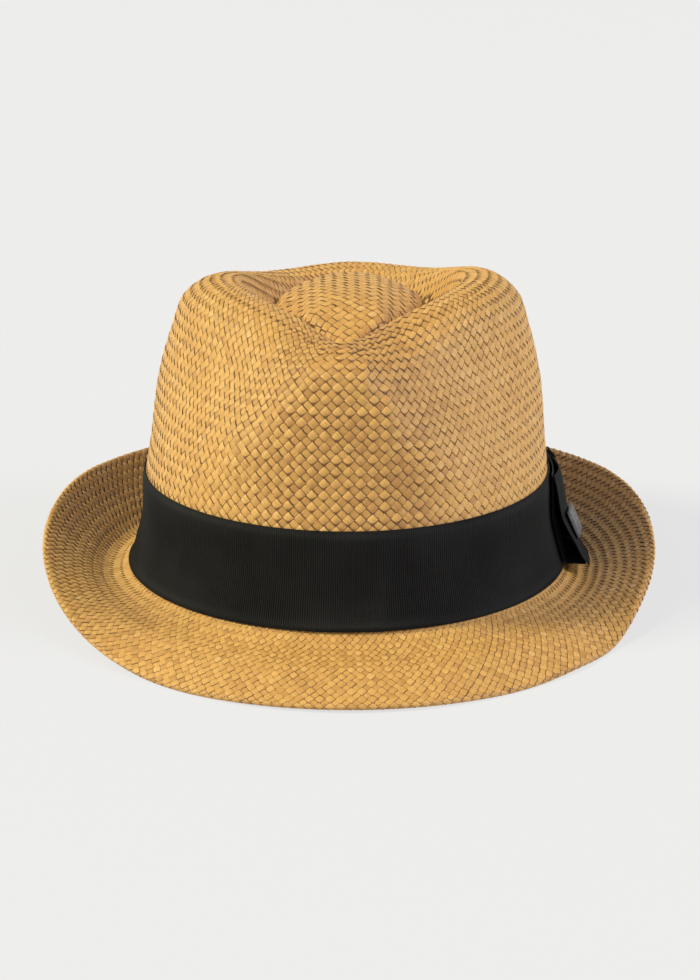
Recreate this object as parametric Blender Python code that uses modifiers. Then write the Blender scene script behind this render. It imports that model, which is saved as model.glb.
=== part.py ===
"""Woven straw fedora with a short brim, a grosgrain band and a tailored side bow.

Metres, +Z up. The hat stands as it lies on a table: on the front of its brim and on the turn of
the brim at the back. The front faces -Y and the wearer's left, with the bow, is +X.
Sizes in the constants are millimetres. The hat is modelled upright on its brim line, z = 0 where
the crown turns into the brim, and an empty tips it onto the table.
"""
import bpy
import bmesh
import numpy as np
from collections import namedtuple
from math import cos, pi, radians, sin, tau
from mathutils import Matrix, Vector

MM = 0.001

# Straw, cloth and metal thicknesses
STRAW = 0.9
RIBBON = 0.5
SWEATBAND = 0.9
GAP = 0.3

# The folded hem round the brim's edge and the wire in it
HEM_RADIUS = 1.5
HEM_DEPTH = 7.0
WIRE_DIAMETER = 0.6

# How much of the lowest straw is pressed flat where the hat meets the table
REST_FLAT = 0.5

# Brim edge height over the brim line: turned down in front, up at the sides and back
EDGE_DROP_FRONT = -12.6
EDGE_RISE_BACK = 21.5
EDGE_TURN_START = 29.0
EDGE_TURN_END = 121.0

# The brim's edge dips a little where it begins to turn up on the wearer's left
EDGE_DIP = 4.2
EDGE_DIP_ANGLE = 57.0
EDGE_DIP_HALF = 9.0

# The crown's top is a little higher on the wearer's left
TOP_TILT = 1.0

# The dents sit a few degrees to the wearer's right of the middle of the front.
DENT_TURN = -4.5

# How sharp the inner edge of the rim is, 0 smooth to 1 sharp, and its section.
CREST = 4
CREST_SHARPNESS = 0.75

# The bow, as angles round the hat from the middle of the front towards the wearer's left
BOW_FRONT = 79.5
BOW_MIDDLE = 101.5
BOW_BACK = 121.0
KEEPER_HALF = 3.6
WING_CREST_TOP = 0.5
WING_CREST_BOTTOM = 7.6
WING_END_TOP = -0.3
WING_END_BOTTOM = 8.5
WING_CREST_AT = 0.6

# The blank metal plate pinned on the bow's front wing
PLATE_LENGTH = 15.0
PLATE_HEIGHT = 12.0
PLATE_THICK = 1.0
PLATE_ANGLE = 86.0
PRONG_SPACING = 8.0
PRONG_WIDTH = 1.4
PRONG_THICK = 0.5
PRONG_TAB = 3.2

# One closed section of the hat: half its width, its reach to the front and to the back, its
# height at the front, side and back, how much higher it peaks in the middle of the back, the
# depth of the two front dents as a share of the radius, how far up the crown it lies (0 at the
# band, 1 at the rim) and how far back and to the wearer's left its middle sits.
Section = namedtuple(
    "Section", "half front back z_front z_side z_back peak dent up shift aside")

SECTIONS = [
    # middle of the tip, top and side of the island, and the groove round it
    Section(0.0, 0.0, 0.0, 117.0, 117.0, 117.0, 0.0, 0.00, 0.0, 8.0, 0.4),
    Section(15.0, 25.0, 26.0, 115.3, 115.8, 115.3, 0.0, 0.04, 0.2, 8.0, 0.4),
    Section(28.0, 43.0, 45.0, 107.0, 110.0, 107.0, 0.0, 0.12, 0.3, 6.0, 0.4),
    Section(36.5, 57.0, 60.0, 101.0, 101.5, 94.0, 4.0, 0.27, 1.0, 3.0, 0.5),
    # the rim's inner and outer side, and the shoulder
    Section(47.0, 69.5, 73.5, 109.5, 119.5, 99.0, 9.0, 0.29, 1.0, 0.0, 0.7),
    Section(57.2, 80.5, 84.0, 108.0, 119.7, 100.0, 9.2, 0.26, 1.0, 0.0, 0.8),
    Section(69.3, 89.5, 92.0, 102.0, 112.0, 94.0, 7.0, 0.22, 0.87, 0.0, 0.1),
    # the side of the crown
    Section(74.7, 94.0, 96.5, 88.0, 98.0, 83.0, 3.5, 0.18, 0.70, 0.0, -0.1),
    Section(80.2, 97.0, 99.5, 70.5, 76.5, 66.5, 1.0, 0.11, 0.42, 0.0, -0.7),
    Section(82.0, 99.5, 101.0, 52.0, 54.0, 51.0, 0.0, 0.03, 0.15, 0.0, -0.9),
    # top edge of the band, two rows under it, and its bottom edge
    Section(82.3, 101.5, 102.0, 42.0, 42.0, 42.0, 0.0, 0.00, 0.0, 0.0, -0.9),
    Section(83.2, 103.0, 103.5, 22.5, 22.5, 22.5, 0.0, 0.00, 0.0, 0.0, -0.9),
    Section(85.5, 104.5, 105.0, 13.0, 13.0, 13.0, 0.0, 0.00, 0.0, 0.0, -0.9),
    Section(89.4, 109.0, 107.5, 3.2, 3.2, 3.2, 0.0, 0.00, 0.0, 0.0, -0.9),
    # the brim line, the middle of the brim and its edge
    Section(96.0, 115.0, 114.5, 0.0, 0.0, 0.0, 0.0, 0.00, 0.0, 0.0, -0.5),
    Section(109.5, 132.0, 131.0, None, None, None, 0.0, 0.00, 0.0, 0.0, 0.0),
    Section(124.0, 149.0, 146.5, None, None, None, 0.0, 0.00, 0.0, 0.0, 0.0),
]
BAND_TOP = 10
BAND_BOTTOM = 13
BRIM_LINE = 14
BRIM_MIDDLE = 15
BRIM_EDGE = 16
MIDDLE_SHARE_OF_RISE = 0.36

# Mesh density: points round the hat, and the rows of the straw, two to a section except where
# the side of the crown is nearly straight
AROUND = 60
HALF_STEPS = [place / 2 for place in range(1, 2 * BRIM_EDGE + 1)]
STRAW_PLACES = [place for place in HALF_STEPS if place == int(place) or not 7 < place < 11]
BAND_PLACES = [place for place in STRAW_PLACES if BAND_TOP <= place <= BAND_BOTTOM]


def ease(share):
    share = np.clip(share, 0.0, 1.0)
    return share * share * (3.0 - 2.0 * share)


def degrees_from_front(angles):
    return np.degrees(np.abs((angles + pi) % tau - pi))


def edge_height(angles):
    turn = (degrees_from_front(angles) - EDGE_TURN_START) / (EDGE_TURN_END - EDGE_TURN_START)
    away = (np.degrees(angles) - EDGE_DIP_ANGLE + 180.0) % 360.0 - 180.0
    dip = EDGE_DIP * np.exp(-((away / EDGE_DIP_HALF) ** 2))
    return EDGE_DROP_FRONT + (EDGE_RISE_BACK - EDGE_DROP_FRONT) * ease(turn) - dip


def dent_share(angles, up):
    """Two dents in the front of the crown, with a wedge between them that widens downwards."""
    away = degrees_from_front(angles)
    wedge = 4.0 + 44.0 * (1.0 - up)
    valley = wedge + 36.0 - 6.0 * up
    rise = np.sin(pi / 2 * np.clip((away - wedge) / (valley - wedge), 0.0, 1.0))
    fall = 1.0 - ease((away - valley) / (105.0 - valley))
    return rise ** (1.1 - 0.25 * up) * fall


def section_points(section, angles):
    """The points of one section at the given angles, in millimetres."""
    ahead = np.cos(angles)
    x = section.half * np.sin(angles)
    y = np.where(ahead > 0, -section.front, -section.back) * ahead
    if section.dent:
        shrink = 1.0 - section.dent * dent_share(angles - radians(DENT_TURN), section.up)
        x = x * shrink
        y = y * shrink
    if section.z_side is None:
        line = SECTIONS[BRIM_LINE].z_side
        share = 1.0 if section is SECTIONS[BRIM_EDGE] else MIDDLE_SHARE_OF_RISE
        z = line + (edge_height(angles) - line) * share
    else:
        front = (section.z_front - section.z_side) * np.maximum(ahead, 0.0) ** 2
        back = (section.z_back - section.z_side) * np.maximum(-ahead, 0.0) ** 2
        peak = section.peak * np.maximum(-ahead, 0.0) ** 6
        tilt = TOP_TILT * section.up * np.sin(angles)
        z = section.z_side + front + back + peak + tilt
    return np.stack([x + section.aside, y + section.shift, z], -1)


def hat_surface(places, angles):
    """Smooth outer surface of the straw at places along the sections, 0 tip to 16 edge."""
    angles = np.asarray(angles, float)
    knots = [section_points(section, angles) for section in SECTIONS]
    last = len(knots) - 1

    def chord(low, high):
        return np.maximum(np.linalg.norm(knots[high] - knots[low], axis=-1, keepdims=True), 1e-6)

    def slope(knot, ahead):
        if knot == 0:
            return (knots[1] - knots[0]) / chord(0, 1)
        if knot == last:
            return (knots[last] - knots[last - 1]) / chord(last - 1, last)
        before, after = chord(knot - 1, knot), chord(knot, knot + 1)
        arriving = (knots[knot] - knots[knot - 1]) / before
        leaving = (knots[knot + 1] - knots[knot]) / after
        mean = (arriving * after + leaving * before) / (before + after)
        sharp = CREST_SHARPNESS if knot == CREST else 0.0
        return mean + ((leaving if ahead else arriving) - mean) * sharp

    rows = []
    for place in places:
        knot = min(int(place), last - 1)
        t = place - knot
        reach = chord(knot, knot + 1)
        row = (2 * t**3 - 3 * t**2 + 1) * knots[knot] + (3 * t**2 - 2 * t**3) * knots[knot + 1]
        row = row + (t**3 - 2 * t**2 + t) * reach * slope(knot, True)
        row = row + (t**3 - t**2) * reach * slope(knot + 1, False)
        rows.append(row)
    return np.stack(rows)


def surface_frame(places, angles):
    """Points on the straw, the unit direction down the hat and the outward unit normal."""
    angles = np.asarray(angles, float)
    step = 0.01
    places = np.asarray(places, float)
    upper = np.maximum(places - step, 0.02)
    lower = np.minimum(places + step, BRIM_EDGE)
    down = hat_surface(lower, angles) - hat_surface(upper, angles)
    along = hat_surface(places, angles + step) - hat_surface(places, angles - step)
    normal = np.cross(down, along)
    normal /= np.linalg.norm(normal, axis=-1, keepdims=True)
    down /= np.linalg.norm(down, axis=-1, keepdims=True)
    return hat_surface(places, angles), down, normal


def offset_sheet(places, angles, offset, lift=0.0):
    """A sheet that lies off the straw by offset and stands away sideways by lift.

    Each is one number, or one for each point.
    """
    points, _, normal = surface_frame(places, angles)
    sideways = normal * np.array([1.0, 1.0, 0.0])
    sideways /= np.linalg.norm(sideways, axis=-1, keepdims=True) + 1e-9
    shape = points.shape[:2]
    points = points + normal * np.broadcast_to(offset, shape)[..., None]
    return points + sideways * np.broadcast_to(lift, shape)[..., None]


def link_mesh(name, bm, material):
    bmesh.ops.recalc_face_normals(bm, faces=bm.faces)
    for face in bm.faces:
        face.smooth = True
    mesh = bpy.data.meshes.new(name)
    bm.to_mesh(mesh)
    bm.free()
    piece = bpy.data.objects.new(name, mesh)
    HAT.objects.link(piece)
    piece.parent = TABLE_REST
    mesh.materials.append(material)
    return piece


def grid_mesh(rows, closed, pole_point=None):
    """A bmesh sheet from rows of points in millimetres, closed at the top by a pole if given."""
    bm = bmesh.new()
    rings = [[bm.verts.new(point * MM) for point in row] for row in rows]
    for upper, lower in zip(rings[:-1], rings[1:]):
        count = len(upper)
        for i in range(count if closed else count - 1):
            j = (i + 1) % count
            bm.faces.new((upper[i], lower[i], lower[j], upper[j]))
    if pole_point is not None:
        top = rings[0]
        pole = bm.verts.new(pole_point * MM)
        for i in range(len(top)):
            bm.faces.new((pole, top[i], top[(i + 1) % len(top)]))
    return bm


def add_thickness(piece, thickness, outward):
    solid = piece.modifiers.new("thickness", "SOLIDIFY")
    solid.thickness = thickness * MM
    solid.offset = 1.0 if outward else -1.0
    return solid


def paint(name, color, roughness, metallic=0.0):
    material = bpy.data.materials.new(name)
    material.use_nodes = True
    shader = material.node_tree.nodes["Principled BSDF"]
    shader.inputs["Base Color"].default_value = (*color, 1.0)
    shader.inputs["Roughness"].default_value = roughness
    shader.inputs["Metallic"].default_value = metallic
    return material


def ring_angles():
    return np.arange(AROUND) * tau / AROUND


def closed_tube(name, points, diameter, material):
    """A round ring of wire, reed or thread through points in millimetres."""
    curve = bpy.data.curves.new(name, "CURVE")
    curve.dimensions = "3D"
    curve.bevel_depth = diameter / 2 * MM
    curve.bevel_resolution = 1
    spline = curve.splines.new("POLY")
    spline.points.add(len(points) - 1)
    for knot, point in zip(spline.points, points):
        knot.co = (*(point * MM), 1.0)
    spline.use_cyclic_u = True
    spline.use_smooth = True
    ring = bpy.data.objects.new(name, curve)
    HAT.objects.link(ring)
    ring.parent = TABLE_REST
    curve.materials.append(material)
    return ring


def hem_rows(angles):
    """The brim's edge turned over and tucked back under it."""
    points, outward, normal = surface_frame([BRIM_EDGE], angles)
    points, outward, normal = points[0], outward[0], normal[0]
    rows = []
    for turn in (45, 90, 135, 180):
        reach = HEM_RADIUS * sin(radians(turn))
        drop = HEM_RADIUS * (1.0 - cos(radians(turn)))
        rows.append(points + outward * reach - normal * drop)
    tucked = points - outward * HEM_DEPTH - normal * (2 * HEM_RADIUS - GAP)
    rows.append(tucked)
    return rows


def make_straw_body(material):
    """Crown and brim, woven in one piece, with the hem folded under."""
    angles = ring_angles()
    rows = list(hat_surface(STRAW_PLACES, angles)) + hem_rows(angles)
    pole = section_points(SECTIONS[0], np.zeros(1))[0]
    body = link_mesh("straw_body", grid_mesh(rows, True, pole), material)
    add_thickness(body, STRAW, outward=False)
    return body


def press_rest_faces(body):
    """Flattens the straw where it meets the table, so that the hat stands on real faces."""
    bpy.ops.mesh.primitive_cube_add(size=1.0)
    cutter = bpy.context.active_object
    cutter.name = "table_cutter"
    for collection in cutter.users_collection:
        collection.objects.unlink(cutter)
    CUTTERS.objects.link(cutter)
    cutter.dimensions = (0.5, 0.5, 0.1)
    cutter.location = (0.0, 0.0, -0.05)
    cutter.hide_render = True
    cutter.display_type = "WIRE"
    cut = body.modifiers.new("rest_faces", "BOOLEAN")
    cut.object = cutter
    cut.operation = "DIFFERENCE"
    cut.solver = "EXACT"


def make_brim_wire(material):
    points, outward, normal = surface_frame([BRIM_EDGE], ring_angles())
    middle = points[0] - normal[0] * HEM_RADIUS
    return closed_tube("brim_wire", middle, WIRE_DIAMETER, material)


def make_hatband(material):
    """The ribbon round the crown; its two ends lap under the bow."""
    start = radians(BOW_MIDDLE - 3.0)
    angles = start + np.linspace(0.0, tau + radians(6.0), AROUND + 3)
    lap = ease((angles - start - tau + radians(5.0)) / radians(3.5))
    lift = GAP + (RIBBON + GAP) * lap
    rows = offset_sheet(BAND_PLACES, angles, lift[None, :])
    band = link_mesh("hatband_ribbon", grid_mesh(rows, False), material)
    add_thickness(band, RIBBON, outward=True)
    return band


def wing_lift(places, angles):
    """How far the bow's top ribbon stands off the band: held at the keeper, bulging, then free."""
    low = np.clip((np.asarray(places) - BAND_TOP) / (BAND_BOTTOM - BAND_TOP), 0.0, 1.0)[:, None]
    crest = WING_CREST_TOP + (WING_CREST_BOTTOM - WING_CREST_TOP) * low**0.5
    end = WING_END_TOP + (WING_END_BOTTOM - WING_END_TOP) * low**0.85
    reach = np.abs(np.degrees(angles) - BOW_MIDDLE) / (BOW_MIDDLE - BOW_FRONT)
    swell = np.sin(pi / 2 * np.clip(reach / WING_CREST_AT, 0.0, 1.0))[None, :]
    give = ease((reach - WING_CREST_AT) / (1.0 - WING_CREST_AT))[None, :]
    return crest * swell * (1.0 - give) + end * give


BAND_OUT = GAP + 2 * RIBBON + GAP
UNDER_OUT = BAND_OUT + GAP
WING_OUT = UNDER_OUT + RIBBON + 2 * GAP


def make_bow_under_layer(material):
    angles = np.radians(np.arange(BOW_FRONT + 4.0, BOW_BACK - 3.0, 3.0))
    rows = offset_sheet(BAND_PLACES[:-1], angles, UNDER_OUT)
    layer = link_mesh("bow_under_layer", grid_mesh(rows, False), material)
    add_thickness(layer, RIBBON, outward=True)
    return layer


def wing_rows():
    angles = np.radians(np.linspace(BOW_FRONT, BOW_BACK, 25))
    places = np.linspace(BAND_TOP + 0.05, BAND_BOTTOM + 0.05, 8)
    return offset_sheet(places, angles, WING_OUT, wing_lift(places, angles))


def make_bow_wings(material):
    """The bow's top ribbon, with cut ends that stand free of the band."""
    wings = link_mesh("bow_wings", grid_mesh(wing_rows(), False), material)
    add_thickness(wings, RIBBON, outward=True)
    return wings


def make_bow_keeper(material):
    """The narrow ribbon round the middle of the bow."""
    half = KEEPER_HALF
    angles = np.radians(np.linspace(BOW_MIDDLE - half, BOW_MIDDLE + half, 7))
    places = np.linspace(BAND_TOP - 0.12, BAND_BOTTOM + 0.02, 8)
    rows = offset_sheet(places, angles, WING_OUT + RIBBON + GAP, wing_lift(places, angles) + GAP)
    keeper = link_mesh("bow_keeper", grid_mesh(rows, False), material)
    add_thickness(keeper, RIBBON, outward=True)
    return keeper


def plate_frame():
    """Where the plate lies on the bow's front wing: its middle and its turn, as a matrix."""
    angle = radians(PLATE_ANGLE)
    middle_place = (BAND_TOP + BAND_BOTTOM) / 2 - 0.1
    around = np.array([angle - 0.05, angle, angle + 0.05])
    places = np.array([middle_place - 0.2, middle_place, middle_place + 0.2])
    sheet = offset_sheet(places, around, WING_OUT + RIBBON, wing_lift(places, around))
    along = Vector(sheet[1, 2] - sheet[1, 0]).normalized()
    up = Vector(sheet[0, 1] - sheet[2, 1])
    out = along.cross(up).normalized()
    up = out.cross(along)
    turn = Matrix((along, up, out)).transposed().to_4x4()
    return Matrix.Translation(Vector(sheet[1, 1]) * MM + out * 0.7 * MM) @ turn


def box(size, middle):
    """A box of the given size in millimetres, as a bmesh."""
    bm = bmesh.new()
    scale = Matrix.Diagonal((size[0] * MM, size[1] * MM, size[2] * MM, 1.0))
    bmesh.ops.create_cube(bm, size=1.0, matrix=Matrix.Translation(Vector(middle) * MM) @ scale)
    return bm


def prong_places():
    return [(-PRONG_SPACING / 2, -1.0), (PRONG_SPACING / 2, 1.0)]


def make_badge(material):
    """A blank plate with two prongs that go through the wing and are bent flat behind it."""
    place = plate_frame()
    plate = link_mesh("badge_plate", box((PLATE_LENGTH, PLATE_HEIGHT, PLATE_THICK),
                                         (0, 0, PLATE_THICK / 2)), material)
    plate.matrix_local = place
    edge = plate.modifiers.new("worn_edges", "BEVEL")
    edge.width = 0.25 * MM
    edge.segments = 2
    depth = 0.7 + RIBBON + 1.3
    for number, (x, side) in enumerate(prong_places()):
        stem = box((PRONG_WIDTH, PRONG_THICK, depth + 0.4), (x, 0, -depth / 2 + 0.2))
        tab = box((PRONG_WIDTH, PRONG_TAB, PRONG_THICK),
                  (x, side * (PRONG_TAB - PRONG_THICK) / 2, -depth + PRONG_THICK / 2))
        for part, bm in (("stem", stem), ("tab", tab)):
            joined = link_mesh(f"prong_{part}_{number}", bm, material)
            joined.matrix_local = place
            hide_cutter(joined)
            union = plate.modifiers.new(joined.name, "BOOLEAN")
            union.object = joined
            union.operation = "UNION"
            union.solver = "EXACT"
    return plate


def cut_prong_slits(wings, material):
    place = plate_frame()
    for number, (x, _) in enumerate(prong_places()):
        slit = link_mesh(f"slit_{number}", box((PRONG_WIDTH + 2 * GAP, PRONG_THICK + 2 * GAP, 8.0),
                                               (x, 0, -1.5)), material)
        slit.matrix_local = place
        hide_cutter(slit)
        cut = wings.modifiers.new(slit.name, "BOOLEAN")
        cut.object = slit
        cut.operation = "DIFFERENCE"
        cut.solver = "EXACT"


def hide_cutter(piece):
    HAT.objects.unlink(piece)
    CUTTERS.objects.link(piece)
    piece.hide_render = True
    piece.display_type = "WIRE"


SWEAT_IN = STRAW + GAP + 0.1
SWEAT_PLACES = [BAND_TOP + 0.4] + BAND_PLACES[1:]
BACK_SEAM = pi


def make_sweatband(material):
    """The band inside the crown, open by a narrow seam at the back."""
    seam = radians(0.35)
    angles = BACK_SEAM + np.linspace(seam, tau - seam, AROUND)
    rows = offset_sheet(SWEAT_PLACES, angles, -SWEAT_IN)
    band = link_mesh("sweatband", grid_mesh(rows, False), material)
    add_thickness(band, SWEATBAND, outward=False)
    return band


def make_sweatband_reed(material):
    """The reed that stiffens the sweatband's lower edge."""
    rows = offset_sheet([BAND_BOTTOM], ring_angles(), -(SWEAT_IN + 1.1))
    return closed_tube("sweatband_reed", rows[0] - np.array([0, 0, 1.9]), 1.6, material)


def make_sweatband_thread(material):
    """The line of stitching round the sweatband, just above its lower edge."""
    rows = offset_sheet([BAND_BOTTOM - 0.45], ring_angles(), -(SWEAT_IN + SWEATBAND + GAP + 0.25))
    return closed_tube("sweatband_thread", rows[0], 0.4, material)


def make_back_piece(name, half_degrees, top, bottom, centre, depth, thick, material):
    """A small flat piece that lies on the inside of the sweatband at the back."""
    middle = BACK_SEAM + radians(centre)
    angles = middle + np.radians(np.linspace(-half_degrees, half_degrees, 5))
    rows = offset_sheet(np.linspace(top, bottom, 5), angles, -depth)
    piece = link_mesh(name, grid_mesh(rows, False), material)
    add_thickness(piece, thick, outward=False)
    return piece


def lowest(points, tip):
    """The lowest height of points once the hat is tipped back by tip."""
    return (points[..., 2] * cos(tip) - points[..., 1] * sin(tip)).min()


def table_tip():
    """The angle at which the front of the brim and its turn at the back both touch the table."""
    front = np.radians(np.linspace(-80, 80, 81))
    back = front + pi
    lip = hem_rows(front)[3]
    places = np.linspace(BAND_BOTTOM, BRIM_MIDDLE, 30)
    turn = offset_sheet(places, back, -STRAW)
    low, high = 0.0, radians(8.0)
    for _ in range(40):
        tip = (low + high) / 2
        if lowest(lip, tip) < lowest(turn, tip):
            low = tip
        else:
            high = tip
    return tip, lowest(turn, tip)


def length_middle(tip):
    """The middle of the tipped hat's length, from its hem."""
    hem = np.stack(hem_rows(ring_angles()))
    along = hem[..., 1] * cos(tip) + hem[..., 2] * sin(tip)
    return (along.min() + along.max()) / 2


def clear_scene():
    for item in list(bpy.data.objects):
        bpy.data.objects.remove(item, do_unlink=True)


def new_collection(name):
    collection = bpy.data.collections.new(name)
    bpy.context.scene.collection.children.link(collection)
    return collection


clear_scene()
HAT = new_collection("fedora_hat")
CUTTERS = new_collection("cutters")
TABLE_REST = bpy.data.objects.new("table_rest", None)
HAT.objects.link(TABLE_REST)

straw = paint("straw", (0.66, 0.42, 0.16), 0.55)
grosgrain = paint("black_grosgrain", (0.012, 0.012, 0.013), 0.75)
cotton = paint("cotton_band", (0.60, 0.52, 0.40), 0.85)
cotton_tape = paint("cotton_tape", (0.50, 0.42, 0.31), 0.85)
thread = paint("thread", (0.70, 0.60, 0.42), 0.7)
nickel = paint("nickel", (0.55, 0.54, 0.52), 0.3, 1.0)
wire = paint("brim_wire", (0.35, 0.35, 0.36), 0.4, 1.0)
reed = paint("reed", (0.85, 0.83, 0.78), 0.5)
tab_cloth = paint("tab_cloth", (0.82, 0.80, 0.76), 0.8)

tip, ground = table_tip()
TABLE_REST.rotation_euler = (-tip, 0.0, 0.0)
TABLE_REST.location = (0.0, -length_middle(tip) * MM, -(ground + REST_FLAT) * MM)

body = make_straw_body(straw)
press_rest_faces(body)
make_brim_wire(wire)
make_hatband(grosgrain)
make_bow_under_layer(grosgrain)
wings = make_bow_wings(grosgrain)
cut_prong_slits(wings, grosgrain)
make_bow_keeper(grosgrain)
make_badge(nickel)
make_sweatband(cotton)
make_sweatband_reed(reed)
make_sweatband_thread(thread)
make_back_piece("sweatband_join_tape", 2.6, BAND_TOP + 0.5, BAND_BOTTOM - 0.7, 0.0,
                SWEAT_IN + SWEATBAND + GAP, 0.6, cotton_tape)
make_back_piece("size_tab", 3.2, BAND_TOP + 1.0, BAND_BOTTOM - 0.9, 8.0,
                SWEAT_IN + SWEATBAND + GAP, 0.4, tab_cloth)
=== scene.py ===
"""Looks of the woven straw fedora: every strip of the weave, the ribbon, bow, plate and lining.

Sizes in the constants are millimetres and turns are degrees, unless a comment says otherwise. The
hat is shaped upright on its brim line and then tipped onto the table, as the CAD part is. Angles
run from the middle of the front, positive towards the wearer's left (+X).
"""
from collections import namedtuple
from math import cos, pi, radians, sin, tau

import bpy
import numpy as np
from mathutils import Matrix, Vector
from mathutils.bvhtree import BVHTree


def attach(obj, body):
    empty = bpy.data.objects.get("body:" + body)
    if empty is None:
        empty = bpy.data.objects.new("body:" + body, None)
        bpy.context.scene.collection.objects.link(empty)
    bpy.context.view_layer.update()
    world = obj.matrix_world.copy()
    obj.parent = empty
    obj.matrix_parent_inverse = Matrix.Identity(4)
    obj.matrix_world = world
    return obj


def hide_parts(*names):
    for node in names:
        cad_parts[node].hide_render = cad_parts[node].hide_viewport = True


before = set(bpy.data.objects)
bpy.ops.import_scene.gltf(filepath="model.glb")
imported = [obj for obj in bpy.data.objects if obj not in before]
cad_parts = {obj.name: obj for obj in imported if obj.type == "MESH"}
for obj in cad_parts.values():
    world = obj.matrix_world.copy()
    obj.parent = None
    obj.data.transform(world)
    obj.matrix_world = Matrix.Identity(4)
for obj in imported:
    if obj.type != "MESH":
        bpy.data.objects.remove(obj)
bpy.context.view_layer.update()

SCENE = bpy.context.scene
MM = 0.001
SEED = 7

# ---------------- the hat's shape, as in the CAD

# How thick the straw, the ribbon and the inner band are, and the gap between two layers.
STRAW = 0.9
RIBBON = 0.5
SWEATBAND = 0.9
GAP = 0.3

# The brim's edge: its turned hem, the flat it rests on, its height round the hat and the small
# dip in front of the bow.
HEM_RADIUS = 1.5
HEM_DEPTH = 7.0
REST_FLAT = 0.5
EDGE_DROP_FRONT = -12.6
EDGE_RISE_BACK = 21.5
EDGE_TURN_START = 29.0
EDGE_TURN_END = 121.0
EDGE_DIP = 4.2
EDGE_DIP_ANGLE = 57.0
EDGE_DIP_HALF = 9.0

# How much higher the top is on the wearer's left than in the middle.
TOP_TILT = 1.0

# The dents sit a few degrees to the wearer's right of the middle of the front.
DENT_TURN = -4.5

# The section at the inner edge of the rim, and how sharp it is, 0 smooth to 1 sharp.
CREST = 4
CREST_SHARPNESS = 0.75

# Where the bow starts, has its knot and ends. How far its top ribbon stands off the band, at its
# crest and at its free ends, along its top and its bottom edge. The crest's place is a share of
# the way from the knot to an end.
BOW_FRONT = 79.5
BOW_MIDDLE = 101.5
BOW_BACK = 121.0
WING_CREST_TOP = 0.5
WING_CREST_BOTTOM = 7.6
WING_END_TOP = -0.3
WING_END_BOTTOM = 8.5
WING_CREST_AT = 0.6

# A closed section of the hat: half its width, its reach to the front and back, its height at the
# front, side and back, how much higher the middle of the back peaks, the depth of the two front
# dents as a share of the radius, how far up the crown it lies (0 at the band, 1 at the rim), and
# how far back and to the wearer's left its middle sits.
Section = namedtuple("Section", "half front back z_front z_side z_back peak dent up shift aside",
                     defaults=(0.0,) * 5)

SECTIONS = [
    # middle of the tip, top and side of the island, and the groove round it
    Section(0.0, 0.0, 0.0, 117.0, 117.0, 117.0, 0.0, 0.00, 0.0, 8.0, 0.4),
    Section(15.0, 25.0, 26.0, 115.3, 115.8, 115.3, 0.0, 0.04, 0.2, 8.0, 0.4),
    Section(28.0, 43.0, 45.0, 107.0, 110.0, 107.0, 0.0, 0.12, 0.3, 6.0, 0.4),
    Section(36.5, 57.0, 60.0, 101.0, 101.5, 94.0, 4.0, 0.27, 1.0, 3.0, 0.5),
    # the rim's inner and outer side, and the shoulder
    Section(47.0, 69.5, 73.5, 109.5, 119.5, 99.0, 9.0, 0.29, 1.0, 0.0, 0.7),
    Section(57.2, 80.5, 84.0, 108.0, 119.7, 100.0, 9.2, 0.26, 1.0, 0.0, 0.8),
    Section(69.3, 89.5, 92.0, 102.0, 112.0, 94.0, 7.0, 0.22, 0.87, 0.0, 0.1),
    # the side of the crown
    Section(74.7, 94.0, 96.5, 88.0, 98.0, 83.0, 3.5, 0.18, 0.70, 0.0, -0.1),
    Section(80.2, 97.0, 99.5, 70.5, 76.5, 66.5, 1.0, 0.11, 0.42, 0.0, -0.7),
    Section(82.0, 99.5, 101.0, 52.0, 54.0, 51.0, 0.0, 0.03, 0.15, 0.0, -0.9),
    # the band's top edge, two rows under it, and its bottom edge
    Section(82.3, 101.5, 102.0, 42.0, 42.0, 42.0, aside=-0.9),
    Section(83.2, 103.0, 103.5, 22.5, 22.5, 22.5, aside=-0.9),
    Section(85.5, 104.5, 105.0, 13.0, 13.0, 13.0, aside=-0.9),
    Section(89.4, 109.0, 107.5, 3.2, 3.2, 3.2, aside=-0.9),
    # the brim line, the middle of the brim and its edge
    Section(96.0, 115.0, 114.5, 0.0, 0.0, 0.0, aside=-0.5),
    Section(109.5, 132.0, 131.0, None, None, None),
    Section(124.0, 149.0, 146.5, None, None, None),
]

# Places along the hat are counted in sections, from 0 in the middle of the tip to 16 at the edge.
BAND_TOP = 10
BAND_BOTTOM = 13
BRIM_LINE = 14
BRIM_MIDDLE = 15
BRIM_EDGE = 16
MIDDLE_SHARE_OF_RISE = 0.36


def lengths(vectors):
    """The length of each vector, as a last axis of one."""
    return np.linalg.norm(vectors, axis=-1, keepdims=True)


def ease(share):
    """A smooth rise from 0 to 1 as share goes from 0 to 1."""
    share = np.clip(share, 0.0, 1.0)
    return share * share * (3.0 - 2.0 * share)


def degrees_from_front(angles):
    """How far round from the middle of the front, to either side."""
    return np.degrees(np.abs((angles + pi) % tau - pi))


def edge_height(angles):
    """Height of the brim's edge: low in front, turned up at the sides and the back."""
    turn = (degrees_from_front(angles) - EDGE_TURN_START) / (EDGE_TURN_END - EDGE_TURN_START)
    away = (np.degrees(angles) - EDGE_DIP_ANGLE + 180.0) % 360.0 - 180.0
    dip = EDGE_DIP * np.exp(-((away / EDGE_DIP_HALF) ** 2))
    return EDGE_DROP_FRONT + (EDGE_RISE_BACK - EDGE_DROP_FRONT) * ease(turn) - dip


def dent_share(angles, up):
    """Two dents in the front of the crown, with a wedge between them that widens downwards."""
    away = degrees_from_front(angles)
    wedge = 4.0 + 44.0 * (1.0 - up)
    valley = wedge + 36.0 - 6.0 * up
    rise = np.sin(pi / 2 * np.clip((away - wedge) / (valley - wedge), 0.0, 1.0))
    fall = 1.0 - ease((away - valley) / (105.0 - valley))
    return rise ** (1.1 - 0.25 * up) * fall


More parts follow.
